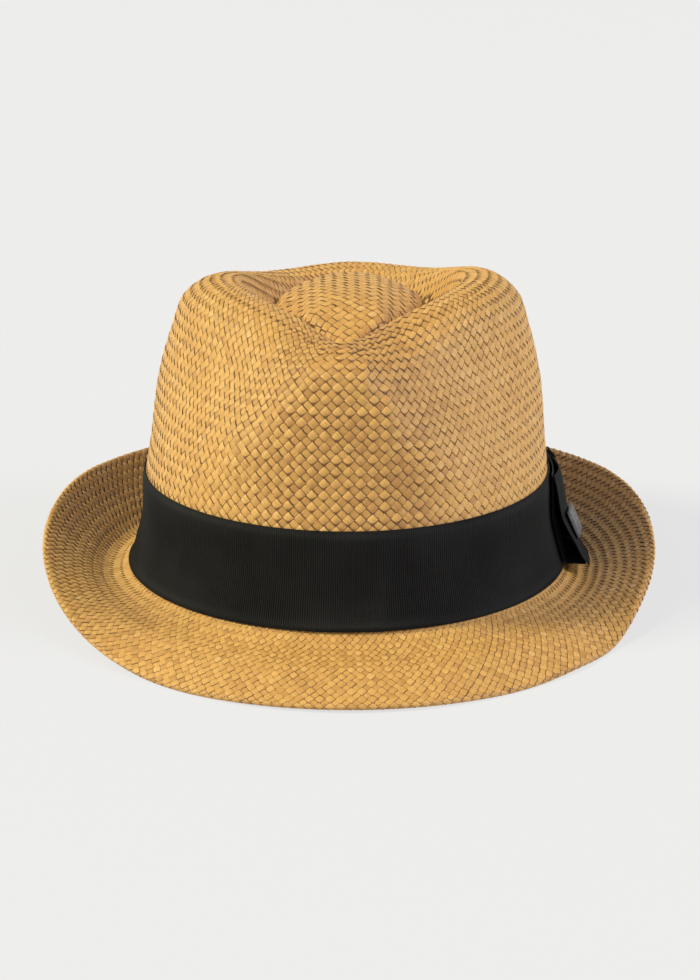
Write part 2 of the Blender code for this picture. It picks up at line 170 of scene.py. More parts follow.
def section_points(section, angles):
    """The points of one section at the given angles, in millimetres."""
    ahead = np.cos(angles)
    x = section.half * np.sin(angles)
    y = np.where(ahead > 0, -section.front, -section.back) * ahead
    if section.dent:
        shrink = 1.0 - section.dent * dent_share(angles - radians(DENT_TURN), section.up)
        x = x * shrink
        y = y * shrink
    if section.z_side is None:
        line = SECTIONS[BRIM_LINE].z_side
        share = 1.0 if section is SECTIONS[BRIM_EDGE] else MIDDLE_SHARE_OF_RISE
        z = line + (edge_height(angles) - line) * share
    else:
        front = (section.z_front - section.z_side) * np.maximum(ahead, 0.0) ** 2
        back = (section.z_back - section.z_side) * np.maximum(-ahead, 0.0) ** 2
        peak = section.peak * np.maximum(-ahead, 0.0) ** 6
        tilt = TOP_TILT * section.up * np.sin(angles)
        z = section.z_side + front + back + peak + tilt
    return np.stack([x + section.aside, y + section.shift, z], -1)


def hat_surface(places, angles):
    """Smooth outer surface of the straw at places along the sections, 0 tip to 16 edge."""
    angles = np.asarray(angles, float)
    knots = [section_points(section, angles) for section in SECTIONS]
    last = len(knots) - 1

    def chord(low, high):
        return np.maximum(lengths(knots[high] - knots[low]), 1e-6)

    def slope(knot, ahead):
        if knot == 0:
            return (knots[1] - knots[0]) / chord(0, 1)
        if knot == last:
            return (knots[last] - knots[last - 1]) / chord(last - 1, last)
        before, after = chord(knot - 1, knot), chord(knot, knot + 1)
        arriving = (knots[knot] - knots[knot - 1]) / before
        leaving = (knots[knot + 1] - knots[knot]) / after
        mean = (arriving * after + leaving * before) / (before + after)
        sharp = CREST_SHARPNESS if knot == CREST else 0.0
        return mean + ((leaving if ahead else arriving) - mean) * sharp

    rows = []
    for place in places:
        knot = min(int(place), last - 1)
        t = place - knot
        reach = chord(knot, knot + 1)
        row = (2 * t**3 - 3 * t**2 + 1) * knots[knot] + (3 * t**2 - 2 * t**3) * knots[knot + 1]
        row = row + (t**3 - 2 * t**2 + t) * reach * slope(knot, True)
        row = row + (t**3 - t**2) * reach * slope(knot + 1, False)
        rows.append(row)
    return np.stack(rows)


def surface_frame(places, angles):
    """Points on the straw, the unit direction down the hat and the outward unit normal."""
    angles = np.asarray(angles, float)
    step = 0.01
    places = np.asarray(places, float)
    upper = np.maximum(places - step, 0.02)
    lower = np.minimum(places + step, BRIM_EDGE)
    down = hat_surface(lower, angles) - hat_surface(upper, angles)
    along = hat_surface(places, angles + step) - hat_surface(places, angles - step)
    normal = np.cross(down, along)
    normal /= lengths(normal)
    down /= lengths(down)
    return hat_surface(places, angles), down, normal


def offset_sheet(places, angles, offset, lift=0.0):
    """A sheet that lies off the straw by offset and stands away sideways by lift."""
    points, _, normal = surface_frame(places, angles)
    sideways = normal * np.array([1.0, 1.0, 0.0])
    sideways /= lengths(sideways) + 1e-9
    shape = points.shape[:2]
    points = points + normal * np.broadcast_to(offset, shape)[..., None]
    return points + sideways * np.broadcast_to(lift, shape)[..., None]


def hem_rows(angles, turns=(45, 90, 135, 180)):
    """Rows of points and normals of the brim's edge as it turns over, by degrees, and tucks in."""
    points, outward, normal = (item[0] for item in surface_frame([BRIM_EDGE], angles))
    rows, normals = [], []
    for turn in turns:
        reach, level = sin(radians(turn)), cos(radians(turn))
        rows.append(points + HEM_RADIUS * (outward * reach - normal * (1.0 - level)))
        normals.append(normal * level + outward * reach)
    rows.append(points - outward * HEM_DEPTH - normal * (2 * HEM_RADIUS - GAP))
    return np.stack(rows), np.stack(normals + [-normal])


def with_hem(points, normals, angles, turns):
    """Rows of points and normals with those of the hem added."""
    hem, hem_normals = hem_rows(angles, turns)
    return np.concatenate([points, hem]), np.concatenate([normals, hem_normals])


def lowest(points, tip):
    """The lowest height of points once the hat is tipped back by tip."""
    return (points[..., 2] * cos(tip) - points[..., 1] * sin(tip)).min()


def table_tip():
    """The angle at which the front of the brim and its turn at the back both touch the table."""
    front = np.radians(np.linspace(-80, 80, 81))
    lip = hem_rows(front)[0][3]
    places = np.linspace(BAND_BOTTOM, BRIM_MIDDLE, 30)
    turn = offset_sheet(places, front + pi, -STRAW)
    low, high = 0.0, radians(8.0)
    for _ in range(40):
        tip = (low + high) / 2
        if lowest(lip, tip) < lowest(turn, tip):
            low = tip
        else:
            high = tip
    return tip, lowest(turn, tip)


def length_middle(tip):
    """The middle of the tipped hat's length, from its hem."""
    hem = hem_rows(np.arange(60) * tau / 60)[0]
    along = hem[..., 1] * cos(tip) + hem[..., 2] * sin(tip)
    return (along.min() + along.max()) / 2


TIP, GROUND = table_tip()
ON_TABLE = Matrix.Translation((0.0, -length_middle(TIP) * MM, -(GROUND + REST_FLAT) * MM))
ON_TABLE = ON_TABLE @ Matrix.Rotation(-TIP, 4, "X")


def on_table(points):
    """Points of the upright hat, in millimetres, placed on the table in metres."""
    turn = np.array(ON_TABLE.to_3x3())
    placed = np.asarray(points) * MM @ turn.T + np.array(ON_TABLE.translation)
    placed[..., 2] = np.maximum(placed[..., 2], 0.0)
    return placed


# ---------------- meshes

def in_scene(name, data):
    """A new object in the scene."""
    made = bpy.data.objects.new(name, data)
    SCENE.collection.objects.link(made)
    return made


def add_piece(name, points, faces, material, attributes=None):
    """A piece from points in metres and quads, with any values that its material reads."""
    mesh = bpy.data.meshes.new(name)
    points = np.asarray(points, np.float32).reshape(-1, 3)
    faces = np.asarray(faces, np.int32)
    mesh.vertices.add(len(points))
    mesh.vertices.foreach_set("co", points.ravel())
    mesh.loops.add(faces.size)
    mesh.loops.foreach_set("vertex_index", faces.ravel())
    mesh.polygons.add(len(faces))
    starts = np.arange(0, faces.size, faces.shape[1], dtype=np.int32)
    mesh.polygons.foreach_set("loop_start", starts)
    mesh.polygons.foreach_set("use_smooth", np.full(len(faces), True))
    mesh.update(calc_edges=True)
    for key, values in (attributes or {}).items():
        values = np.asarray(values, np.float32)
        kind = "FLOAT_VECTOR" if values.ndim == 2 else "FLOAT"
        layer = mesh.attributes.new(key, kind, "POINT")
        layer.data.foreach_set("vector" if values.ndim == 2 else "value", values.ravel())
    mesh.validate()
    mesh.materials.append(material)
    piece = in_scene(name, mesh)
    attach(piece, "root")
    return piece


def grid_faces(rows, columns, closed=False):
    """Quads of a grid of rows by columns, its last column joined to its first if closed."""
    i = np.arange(rows - 1)[:, None]
    j = np.arange(columns if closed else columns - 1)[None, :]
    k = (j + 1) % columns
    corners = [i * columns + j, (i + 1) * columns + j, (i + 1) * columns + k, i * columns + k]
    return np.stack(np.broadcast_arrays(*corners), -1).reshape(-1, 4)


def thicken(piece, thickness, outward=True):
    """Gives a sheet its thickness, to the outer or the inner side of its faces."""
    solid = piece.modifiers.new("thickness", "SOLIDIFY")
    solid.thickness = thickness * MM
    solid.offset = 1.0 if outward else -1.0
    solid.use_even_offset = False
    return piece


def walked(points, axis=0):
    """The distance to each point of a line or grid from its start, along one axis."""
    step = np.linalg.norm(np.diff(points, axis=axis), axis=-1)
    return np.insert(np.cumsum(step, axis), 0, 0.0, axis)


def cloth_places(along, down):
    """For each point of a sheet its place on the flat cloth, which the cloth's material reads."""
    return np.stack(np.broadcast_arrays(along[None, :], down[:, None], 0.0), -1).reshape(-1, 3)


# ---------------- materials

BRUSH_STRETCH = (1.0, 24.0, 1.0)

class Shader:
    """A Principled material and short ways to add nodes to it."""

    def __init__(self, name, roughness, metallic=0.0, **constants):
        self.material = bpy.data.materials.new(name)
        self.material.use_nodes = True
        self.tree = self.material.node_tree
        self.surface = self.tree.nodes["Principled BSDF"]
        self.surface.inputs["Roughness"].default_value = roughness
        self.surface.inputs["Metallic"].default_value = metallic
        for socket, value in constants.items():
            self.surface.inputs[socket.replace("_", " ")].default_value = value

    def node(self, kind, inputs=(), output=0, **settings):
        made = self.tree.nodes.new("ShaderNode" + kind)
        for key, value in settings.items():
            setattr(made, key, value)
        for socket, value in dict(inputs).items():
            if isinstance(value, bpy.types.NodeSocket):
                self.tree.links.new(value, made.inputs[socket])
            elif value is not None:
                made.inputs[socket].default_value = value
        return made.outputs[output]

    def attribute(self, name, output="Fac"):
        return self.node("Attribute", output=output, attribute_name=name)

    def math(self, operation, first, second):
        return self.node("Math", {0: first, 1: second}, operation=operation)

    def scaled(self, vector, scale):
        return self.node("Mapping", {"Vector": vector, "Scale": scale})

    def noise(self, vector, scale, detail=3.0, roughness=0.5):
        return self.node("TexNoise", {"Vector": vector, "Scale": scale, "Detail": detail,
                                      "Roughness": roughness})

    def ramp(self, factor, stops):
        made = self.tree.nodes.new("ShaderNodeValToRGB")
        self.tree.links.new(factor, made.inputs[0])
        elements = made.color_ramp.elements
        while len(elements) < len(stops):
            elements.new(0.5)
        for element, (place, color) in zip(elements, stops):
            element.position = place
            element.color = (*color, 1.0)
        return made.outputs[0]

    def shaded(self, color, share):
        return self.mix(1.0, color, self.node("CombineColor", {0: share, 1: share, 2: share}),
                        "MULTIPLY")

    def mix(self, factor, first, second, blend="MIX"):
        made = self.tree.nodes.new("ShaderNodeMix")
        made.data_type = "RGBA"
        made.blend_type = blend
        for index, value in ((0, factor), (6, first), (7, second)):
            if isinstance(value, bpy.types.NodeSocket):
                self.tree.links.new(value, made.inputs[index])
            else:
                made.inputs[index].default_value = (*value, 1.0) if index else value
        return made.outputs[2]

    def range(self, value, low, high, to_low=0.0, to_high=1.0):
        return self.node("MapRange", {"Value": value, "From Min": low, "From Max": high,
                                      "To Min": to_low, "To Max": to_high})

    def bump(self, height, strength, distance, normal=None):
        return self.node("Bump", {"Height": height, "Strength": strength, "Distance": distance,
                                  "Normal": normal})

    def finish(self, color=None, roughness=None, normal=None):
        for socket, value in (("Base Color", color), ("Roughness", roughness), ("Normal", normal)):
            if value is not None:
                self.tree.links.new(value, self.surface.inputs[socket])
        return self.material


def straw_material():
    """Golden paper straw: each strip has its own tone, with fine fibres along it, and painted shade where it
    lies low between its neighbours.
    """
    s = Shader("woven_straw", 0.46, Specular_IOR_Level=0.45)
    strip = s.attribute("strip", "Vector")
    tone = s.attribute("tone")
    height = s.attribute("height")
    blotch = s.noise(s.scaled(strip, (0.09, 0.03, 1.0)), 1.0, 2.0)
    fibre = s.noise(s.scaled(strip, (0.12, 3.2, 1.0)), 1.0, 4.0, 0.6)
    shade = s.math("ADD", s.math("MULTIPLY", tone, 0.55), s.math("MULTIPLY", blotch, 0.45))
    color = s.ramp(shade, [(0.18, (0.47, 0.235, 0.060)), (0.42, (0.60, 0.325, 0.085)),
                           (0.58, (0.66, 0.370, 0.100)), (0.82, (0.72, 0.450, 0.165))])
    streak = s.range(fibre, 0.30, 0.64, 0.76, 1.10)
    color = s.shaded(color, streak)
    split = s.range(s.noise(s.scaled(strip, (0.30, 5.5, 1.0)), 1.0, 2.0), 0.62, 0.70, 1.0, 0.62)
    color = s.shaded(color, split)
    # Painted shade: dark brown where a strip's level is low, where it dives under its neighbours, along the
    # lower sides of the broad strips and in the pressed line by the rim.
    painted_shade = s.range(height, 0.08, 0.46, 0.0, 1.0)
    color = s.mix(painted_shade, (0.20, 0.085, 0.018), color)
    rough = s.range(fibre, 0.2, 0.8, 0.42, 0.62)
    normal = s.bump(fibre, 0.35, 0.0002)
    return s.finish(color, rough, normal)


def painted_shade_core_material():
    """Rough straw painted dark as shade, which is seen only through the gaps of the weave."""
    s = Shader("straw_core_painted_shade", 0.8)
    grain = s.noise(s.node("TexCoord", output="Object"), 900.0, 4.0)
    # The dark brown is painted shade, for the hat's shaded inside seen through the weave.
    color = s.ramp(grain, [(0.35, (0.10, 0.045, 0.012)), (0.65, (0.20, 0.095, 0.028))])
    return s.finish(color, None, s.bump(grain, 0.4, 0.0002))


def grosgrain_material():
    """Black ribbed ribbon."""
    s = Shader("black_grosgrain", 0.62, Specular_IOR_Level=0.14, Sheen_Weight=0.03,
               Sheen_Roughness=0.4)
    cloth = s.attribute("cloth", "Vector")
    yarn = s.noise(s.scaled(cloth, (1.3, 2.2, 1.0)), 1.0, 3.0)
    worn = s.noise(s.scaled(cloth, (0.04, 0.04, 1.0)), 1.0, 2.0)
    shade = s.math("ADD", s.math("MULTIPLY", yarn, 0.6), s.math("MULTIPLY", worn, 0.4))
    color = s.ramp(shade, [(0.35, (0.0020, 0.0020, 0.0018)), (0.65, (0.0115, 0.0115, 0.0108))])
    weft = s.node("TexWave", {"Vector": s.scaled(cloth, (0.0, 1.0, 0.0)), "Scale": 0.62},
                  wave_type="BANDS", bands_direction="Y")
    normal = s.bump(weft, 0.12, 0.0001, s.bump(yarn, 0.25, 0.0001))
    return s.finish(color, s.range(yarn, 0.3, 0.7, 0.52, 0.72), normal)


def cloth_material(name, dark, light, thread_scale, roughness=0.9):
    """Woven cotton, from the direction along and across the band."""
    s = Shader(name, roughness, Sheen_Weight=0.15, Sheen_Roughness=0.5)
    cloth = s.attribute("cloth", "Vector")
    warp, weft = (s.node("TexWave", {"Vector": cloth, "Scale": thread_scale}, output=1,
                         wave_type="BANDS", bands_direction=way) for way in "XY")
    fuzz = s.noise(cloth, 2.5, 4.0)
    soil = s.noise(cloth, 0.05, 2.0)
    weave = s.math("MULTIPLY", warp, weft)
    shade = s.math("ADD", s.math("MULTIPLY", weave, 0.4), s.math("MULTIPLY", fuzz, 0.3))
    shade = s.math("ADD", shade, s.math("MULTIPLY", soil, 0.3))
    color = s.ramp(shade, [(0.25, dark), (0.6, light)])
    normal = s.bump(weave, 0.35, 0.0002, s.bump(fuzz, 0.2, 0.0001))
    return s.finish(color, s.range(fuzz, 0.3, 0.7, roughness - 0.08, roughness), normal)


def metal_material(name, dark, light, roughness):
    """Brushed metal with a slightly uneven tone."""
    s = Shader(name, roughness, metallic=1.0)
    place = s.node("TexCoord", output="Object")
    brush = s.noise(s.scaled(place, BRUSH_STRETCH), 400.0, 3.0)
    wear = s.noise(place, 300.0, 4.0)
    color = s.ramp(wear, [(0.35, dark), (0.62, light)])
    normal = s.bump(brush, 0.10, 0.0001)
    return s.finish(color, s.range(brush, 0.3, 0.7, roughness - 0.08, roughness + 0.12), normal)


STRAW_LOOK = straw_material()
CORE_PAINTED_SHADE = painted_shade_core_material()
GROSGRAIN = grosgrain_material()
COTTON = cloth_material("sweatband_cotton", (0.42, 0.35, 0.25), (0.68, 0.60, 0.47), 0.9)
TAPE = cloth_material("join_tape_cloth", (0.36, 0.29, 0.20), (0.58, 0.49, 0.36), 1.2)
TAB = cloth_material("tab_cloth", (0.62, 0.59, 0.54), (0.84, 0.82, 0.78), 1.6)
THREAD = cloth_material("stitch_thread", (0.52, 0.43, 0.28), (0.76, 0.66, 0.47), 2.5, 0.7)
REED = cloth_material("reed_cover", (0.60, 0.56, 0.48), (0.86, 0.83, 0.76), 1.4, 0.6)
NICKEL = metal_material("brushed_nickel", (0.13, 0.13, 0.13), (0.24, 0.235, 0.23), 0.42)
STEEL = metal_material("brim_wire_steel", (0.20, 0.20, 0.21), (0.42, 0.42, 0.44), 0.45)

# ---------------- the weave

# Strips that run one way are broad and domed, and those that cross them flatter.
STRIP_SHARE = {1: 0.99, -1: 0.88}    # width of a strip as a share of the pitch
STRIP_RISE = {1: 0.32, -1: 0.24}     # how far a strip rises over the next and dips under it
STRIP_DROOP = {1: 0.12, -1: 0.08}    # how far its edges curl down
STRIP_TONE = {1: 0.05, -1: -0.08}
STRIP_LIFT = {1: 0.06, -1: -0.06}    # how far it lies over the weave's middle
MIDDLE_DEPTH = -0.36                 # the weave's middle under the straw's outer surface
STEPS = np.array([0.0, 0.15, 0.25, 0.35, 0.5, 0.65, 0.75, 0.85])   # points along one wave
ACROSS = np.array([-0.5, -0.42, 0.0, 0.42, 0.5])                   # and across a strip
WAVE_SQUARENESS = 0.55

# The crown and the brim have columns round them and rows down them, and the tip square cells.
CROWN_COLUMNS = 124
CROWN_ROW = 4.65
PANEL_COLUMN = 4.75      # width of a column on the front of the crown, where none is squeezed
PANEL_REACH = 34.0
PANEL_BLEND = 40.0
BRIM_COLUMNS = 210
BRIM_ROW = 4.15
TIP_CELL = 4.6
GROOVE = 3.3             # where the crown's strips end, over those of the tip
RIM_CREASE = 5.05        # a pressed line just outside the rim
RIM_CREASE_HALF = 0.045
RIM_CREASE_DEPTH = 0.5
CREASE_SHADE = 0.8       # how much darker the pressed line is drawn
CORE_THICK = 0.1

FINE_ANGLES = np.linspace(0.0, tau, 721)


class Skin:
    """A part of the hat's surface as a fine grid, with distances down it and columns round it."""

    def __init__(self, points, normals, columns, panel=None, pressed=None):
        self.points, self.normals, self.columns = points, normals, columns
        rows = np.zeros(len(points)) if pressed is None else pressed
        self.pressed = np.repeat(rows[:, None], points.shape[1], 1)
        self.down = walked(points)
        self.column = np.stack([self.column_row(row, panel) for row in walked(points, 1)])
        rows, angles = self.down.shape
        self.reach = self.down.max()
        grid = np.linspace(0.0, self.reach, 500)
        self.row_of = np.stack([np.interp(grid, self.down[:, j], np.arange(rows))
                                for j in range(angles)], 1)
        grid = np.linspace(0.0, columns, 1200)
        self.angle_of = np.stack([np.interp(grid, row, np.arange(angles)) for row in self.column])

    def column_row(self, around, panel):
        """Column numbers round one ring. Columns in the front panel keep their width."""
        if panel is None:
            return around / around[-1] * self.columns
        width, reach, blend = panel
        middle = (around[1:] + around[:-1]) / 2
        share = ease((np.minimum(middle, around[-1] - middle) - reach) / blend)
        step = np.diff(around)
        rest = (self.columns - (step * (1 - share)).sum() / width) / (step * share).sum()
        density = (1 - share) / width + share * rest
        return np.concatenate([[0.0], np.cumsum(step * density)])

    @staticmethod
    def sample(table, i, j):
        """Values of a table between its rows and columns."""
        i = np.clip(i, 0, table.shape[0] - 1.001)
        j = np.clip(j, 0, table.shape[1] - 1.001)
        low_i, low_j = i.astype(int), j.astype(int)
        share_i, share_j = i - low_i, j - low_j
        if table.ndim == 3:
            share_i, share_j = share_i[..., None], share_j[..., None]
        upper = table[low_i, low_j] * (1 - share_j) + table[low_i, low_j + 1] * share_j
        lower = table[low_i + 1, low_j] * (1 - share_j) + table[low_i + 1, low_j + 1] * share_j
        return upper * (1 - share_i) + lower * share_i

    def locate(self, column, distance):
        """Points, normals, how hard they are pressed and which lie on the skin."""
        column = column % self.columns
        j = column / self.columns * (self.down.shape[1] - 1)
        for _ in range(10):
            i = self.sample(self.row_of, distance / self.reach * (len(self.row_of) - 1), j)
            j = self.sample(self.angle_of, i, column / self.columns * (self.angle_of.shape[1] - 1))
        length = self.sample(np.broadcast_to(self.down[-1], (2, self.down.shape[1])), 0 * j, j)
        inside = (distance >= 0) & (distance <= length)
        tables = (self.points, self.normals, self.pressed)
        return *(self.sample(table, i, j) for table in tables), inside


def strip_shape(t, family):
    """Height of a strip along it: over its neighbours at whole numbers for family 1."""
    wave = np.cos(tau * t) * family
    return np.sign(wave) * np.abs(wave) ** WAVE_SQUARENESS


def weave_lattice(first, count, low, high, family, random):
    """Lattice places of one family of strips, and what their material needs to know."""
    number = first + np.arange(count)
    t = (np.arange(low, high)[:, None] + STEPS[None, :]).ravel()
    wander = random.normal(0.0, 0.02, count)[:, None, None]
    share = STRIP_SHARE[family] * (1 + random.normal(0.0, 0.03, count))[:, None, None]
    w = ACROSS[None, None, :] * share + wander
    number, along = number[:, None, None], t[None, :, None]
    x = number - family * along + w / 2
    y = along + family * w / 2
    edge = np.abs(2 * ACROSS)[None, None, :] ** 3
    puff = 1.0 + random.normal(0.0, 0.10, (count, len(t)))[..., None]
    height = STRIP_RISE[family] * strip_shape(along, family) * puff - STRIP_DROOP[family] * edge
    height = height + STRIP_LIFT[family] + random.normal(0.0, 0.025, count)[:, None, None]
    return np.broadcast_arrays(x, y, height, along, w, number)


def strip_attributes(lattice, pitch, family, shade, painted_light_tint, random):
    """Per point: place along and across the strip, the strip's tone, and its level, which the material darkens
    as painted shade where the strip dives and, for the broad strips, along their lower sides.
    """
    x, _, _, along, w, _ = lattice
    strips = x.shape[0]
    middle = np.rint(along[0, :, 0] + (family - 1) / 4)
    cell = (middle - along.min()).astype(int) + 1
    of_cell = random.random((strips, cell.max() + 1))[:, cell, None]
    from_middle = along - (middle - (family - 1) / 4)[None, :, None]
    tone = 0.5 + 0.30 * (random.random(strips)[:, None, None] - 0.5) + 0.45 * (of_cell - 0.5)
    tone = tone + STRIP_TONE[family] + painted_light_tint + 0 * x
    place = np.stack([along * pitch * 2, w * pitch, 0 * x + np.arange(strips)[:, None, None] * 3.7],
                     -1)
    level = 0.5 + 0.5 * strip_shape(along, family)
    # Painted shade along the lower sides of the broad strips, where light from above leaves a shadow under each
    # one.
    if family > 0:
        shaded_lower_side = np.clip(0.2 - 2 * (from_middle + family * w / 2) * np.sign(shade), 0.0, 1.0)
        edge = np.maximum(-2 * ACROSS * np.sign(shade), 0.0) ** 6
        painted_under_shade = np.abs(shade) * (0.20 + 1.0 * of_cell) * shaded_lower_side
        level = level - painted_under_shade * (0.42 + 0.35 * edge)
    return {"strip": place.reshape(-1, 3), "tone": tone.ravel(), "height": level.ravel()}


def strip_faces(valid):
    """Quads between points that are on the skin, for strips x steps x points across."""
    index = np.arange(valid.size).reshape(valid.shape)
    corners = [index[:, :-1, :-1], index[:, 1:, :-1], index[:, 1:, 1:], index[:, :-1, 1:]]
    good = valid.all(-1)
    keep = np.broadcast_to((good[:, :-1] & good[:, 1:])[..., None], corners[0].shape)
    return np.stack([corner[keep] for corner in corners], -1)


def woven_piece(name, points, normals, valid, lattice, pitch, family, look, random, sink=0.0,
                pressed=0.0):
    """One family of strips as a piece, with its look as relief, painted shade under the strips and a tone shift
    that paints light and shade.
    """
    relief, shade, painted_light_tint = look
    height = lattice[2] * relief + MIDDLE_DEPTH - sink
    placed = points + normals * height[..., None]
    faces = strip_faces(valid)
    if family < 0:
        faces = faces[:, ::-1]
    attributes = strip_attributes(lattice, pitch, family, shade, painted_light_tint, random)
    # Painted shade along the pressed line outside the rim.
    attributes["height"] -= np.ravel(CREASE_SHADE * pressed + 0 * lattice[0])
    used = np.zeros(placed.size // 3, bool)
    used[faces.ravel()] = True
    renumber = np.cumsum(used) - 1
    attributes = {key: value[used] for key, value in attributes.items()}
    return add_piece(name, on_table(placed).reshape(-1, 3)[used], renumber[faces], STRAW_LOOK,
                     attributes)


def rim_crease(places):
    """How hard the pressed line outside the rim is pressed, from 0 to 1."""
    return np.exp(-(((places - RIM_CREASE) / RIM_CREASE_HALF) ** 2))


def crown_skin():
    """The crown from under the band's top edge up over its rim and down into the groove."""
    places = np.linspace(BAND_TOP + 0.5, GROOVE, 300)
    points, _, normals = surface_frame(places, FINE_ANGLES)
    pressed = rim_crease(places)
    points = points - normals * RIM_CREASE_DEPTH * pressed[:, None, None]
    return Skin(points, normals, CROWN_COLUMNS, (PANEL_COLUMN, PANEL_REACH, PANEL_BLEND), pressed)


def brim_skin():
    """The brim from under the band's bottom edge to its edge, and round the hem under it."""
    places = np.linspace(BAND_BOTTOM - 0.5, BRIM_EDGE, 200)
    points, _, normals = surface_frame(places, FINE_ANGLES)
    return Skin(*with_hem(points, normals, FINE_ANGLES, range(15, 181, 15)), BRIM_COLUMNS)


def weave_ring(name, skin, columns, row, look, random):
    """Both families of strips round the hat."""
    pieces = []
    rows = int(skin.reach / row) + 2
    for family, letter in ((1, "a"), (-1, "b")):
        lattice = weave_lattice(0, columns, -1, rows, family, random)
        points, normals, pressed, valid = skin.locate(lattice[0], lattice[1] * row)
        away = degrees_from_front(lattice[0] / columns * tau)
        pieces.append(woven_piece(f"{name}_strips_{letter}", points, normals, valid, lattice,
                                  row / 2 ** 0.5, family, look(away), random,
                                  pressed=pressed))
    return pieces


def weave_tip(random):
    """The tip's strips cross it diagonally and end under the crown's strips in the groove."""
    places = np.linspace(0.02, GROOVE + 0.35, 220)
    points, _, normals = surface_frame(places, FINE_ANGLES)
    faces = grid_faces(len(places), len(FINE_ANGLES))
    tree = BVHTree.FromPolygons(points.reshape(-1, 3).tolist(), faces.tolist())
    middle_y = SECTIONS[1].shift
    reach = int(90 / TIP_CELL)
    above = Vector((0, 0, -1))
    pieces = []
    for family, letter in ((1, "a"), (-1, "b")):
        lattice = weave_lattice(-2 * reach, 4 * reach, -reach, reach, family, random)
        plan = np.stack([lattice[0] * TIP_CELL, lattice[1] * TIP_CELL + middle_y], -1)
        placed = np.zeros(plan.shape[:-1] + (3,))
        normal = np.zeros_like(placed)
        valid = np.zeros(plan.shape[:-1], bool)
        depth = np.zeros(plan.shape[:-1])
        near = (plan[..., 0] / 60) ** 2 + ((plan[..., 1] - middle_y) / 90) ** 2 < 1
        for index in zip(*np.nonzero(near)):
            x, y = plan[index]
            hit = tree.ray_cast(Vector((x, y, 200.0)), above)
            if hit[0] is not None:
                row, column = divmod(hit[2], len(FINE_ANGLES) - 1)
                placed[index] = hit[0]
                normal[index] = normals[row, column]
                depth[index] = 0.4 * ease((places[row] - GROOVE + 0.15) / 0.3)
                valid[index] = True
        pieces.append(woven_piece(f"tip_strips_{letter}", placed, normal, valid, lattice,
                                  TIP_CELL / 2 ** 0.5, family, (1.0, 0.8, 0.0), random, depth))
    return pieces


def straw_core_painted_shade():
    """A thin layer in the middle of the weave, dark with painted shade, which shows only between the strips."""
    places = np.linspace(0.03, BRIM_EDGE, 200)
    angles = FINE_ANGLES[:-1:4]
    points, _, normals = surface_frame(places, angles)
    points = points - normals * RIM_CREASE_DEPTH * rim_crease(places)[:, None, None]
    points, normals = with_hem(points, normals, angles, range(30, 181, 30))
    rows = on_table(points + normals * MIDDLE_DEPTH)
    return thicken(add_piece("straw_core_painted_shade", rows, grid_faces(len(rows), len(angles), True),
                             CORE_PAINTED_SHADE), CORE_THICK, False)


def crown_look(away):
    """How raised the weave is, how much shade is painted under each strip, and a darker tone on the front that
    is painted shade.
    """
    front = 1.0 - ease((away - 14.0) / 22.0)
    # The front panel's darker tone is painted shade.
    return 1.0 + 0.4 * front, 0.85 + 0.65 * front, -0.24 * front


def brim_look(away):
    """The brim is pressed flat in front, with more shade painted under its strips at the sides, and its tone is
    painted darker in front and lighter at the sides for how the light falls.
    """
    side = ease((away - 42.0) / 40.0)
    # The tone is painted shade in front and painted light at the sides.
    return 0.55 + 0.75 * side, -(0.30 + 0.45 * side), -0.12 + 0.22 * side


rng = np.random.default_rng(SEED)
crown = weave_ring("crown", crown_skin(), CROWN_COLUMNS, CROWN_ROW, crown_look, rng)
brim = weave_ring("brim", brim_skin(), BRIM_COLUMNS, BRIM_ROW, brim_look, rng)
weave_tip(rng)
core = straw_core_painted_shade()
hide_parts("straw_body")

# ---------------- ribbon and bow

# How far off the straw each layer of the bow lies.
BAND_OUT = GAP + 2 * RIBBON + GAP
UNDER_OUT = BAND_OUT + GAP
WING_OUT = UNDER_OUT + RIBBON + 2 * GAP

# The ribs across the ribbon, and the plain edge along it as a share of its width.
RIB_PITCH = 1.0
RIB_RISE = 0.16
PER_RIB = 4
SELVEDGE = 0.035

# The reach of the band and the bow from the hat's middle, which sets how many ribs they have.
MEAN_REACH = 96.0
BOW_REACH = MEAN_REACH + 5

BAND_START = BOW_MIDDLE - 3.0
BAND_LAP = 6.0
LAP_RISE_START = 5.0
LAP_RISE_REACH = 3.5
WING_HANG = 0.8
LINING_ROWS = 15
LINING_FOLD = 5          # rows of the lining that turn out to the wings
LINING_SHARE = 0.97      # how far out they go
KEEPER_HALF = 3.6


def ribbed_sheet(name, places, start, end, middle_reach, outset, lift, hang=0.0):
    """A ribbon that lies round the hat, with a rib across it at each millimetre.

    Its lower edge may hang on a little further, straight down. Its flat size is measured on the
    smooth cloth, because the ribs stand on the ribbon and take up none of its length."""
    ribs = int(middle_reach * abs(end - start) / RIB_PITCH)
    angles = np.linspace(start, end, ribs * PER_RIB + 1)
    share = (places - places[0]) / (places[-1] - places[0])
    plain = np.clip(np.minimum(share, 1 - share) / SELVEDGE, 0, 1)[:, None]
    rise = RIB_RISE * np.cos(tau * np.arange(len(angles)) / PER_RIB)[None, :] * plain
    out, stand = outset(places, angles), lift(places, angles)
    sheets = [offset_sheet(places, angles, out, stand),
              offset_sheet(places, angles, out + rise, stand)]
    if hang:
        fall = np.array([0.0, 0.0, hang])
        sheets = [np.concatenate([sheet, [sheet[-1] - fall * part for part in (0.35, 0.7, 1.0)]])
                  for sheet in sheets]
    smooth, points = sheets
    along, down = walked(smooth[len(places) // 2]), walked(smooth[:, 0])
    faces = grid_faces(len(points), len(angles))
    piece = add_piece(name, on_table(points), faces, GROSGRAIN,
                      {"cloth": cloth_places(along, down)})
    return thicken(piece, RIBBON), (down[-1] * MM, along[-1] * MM)


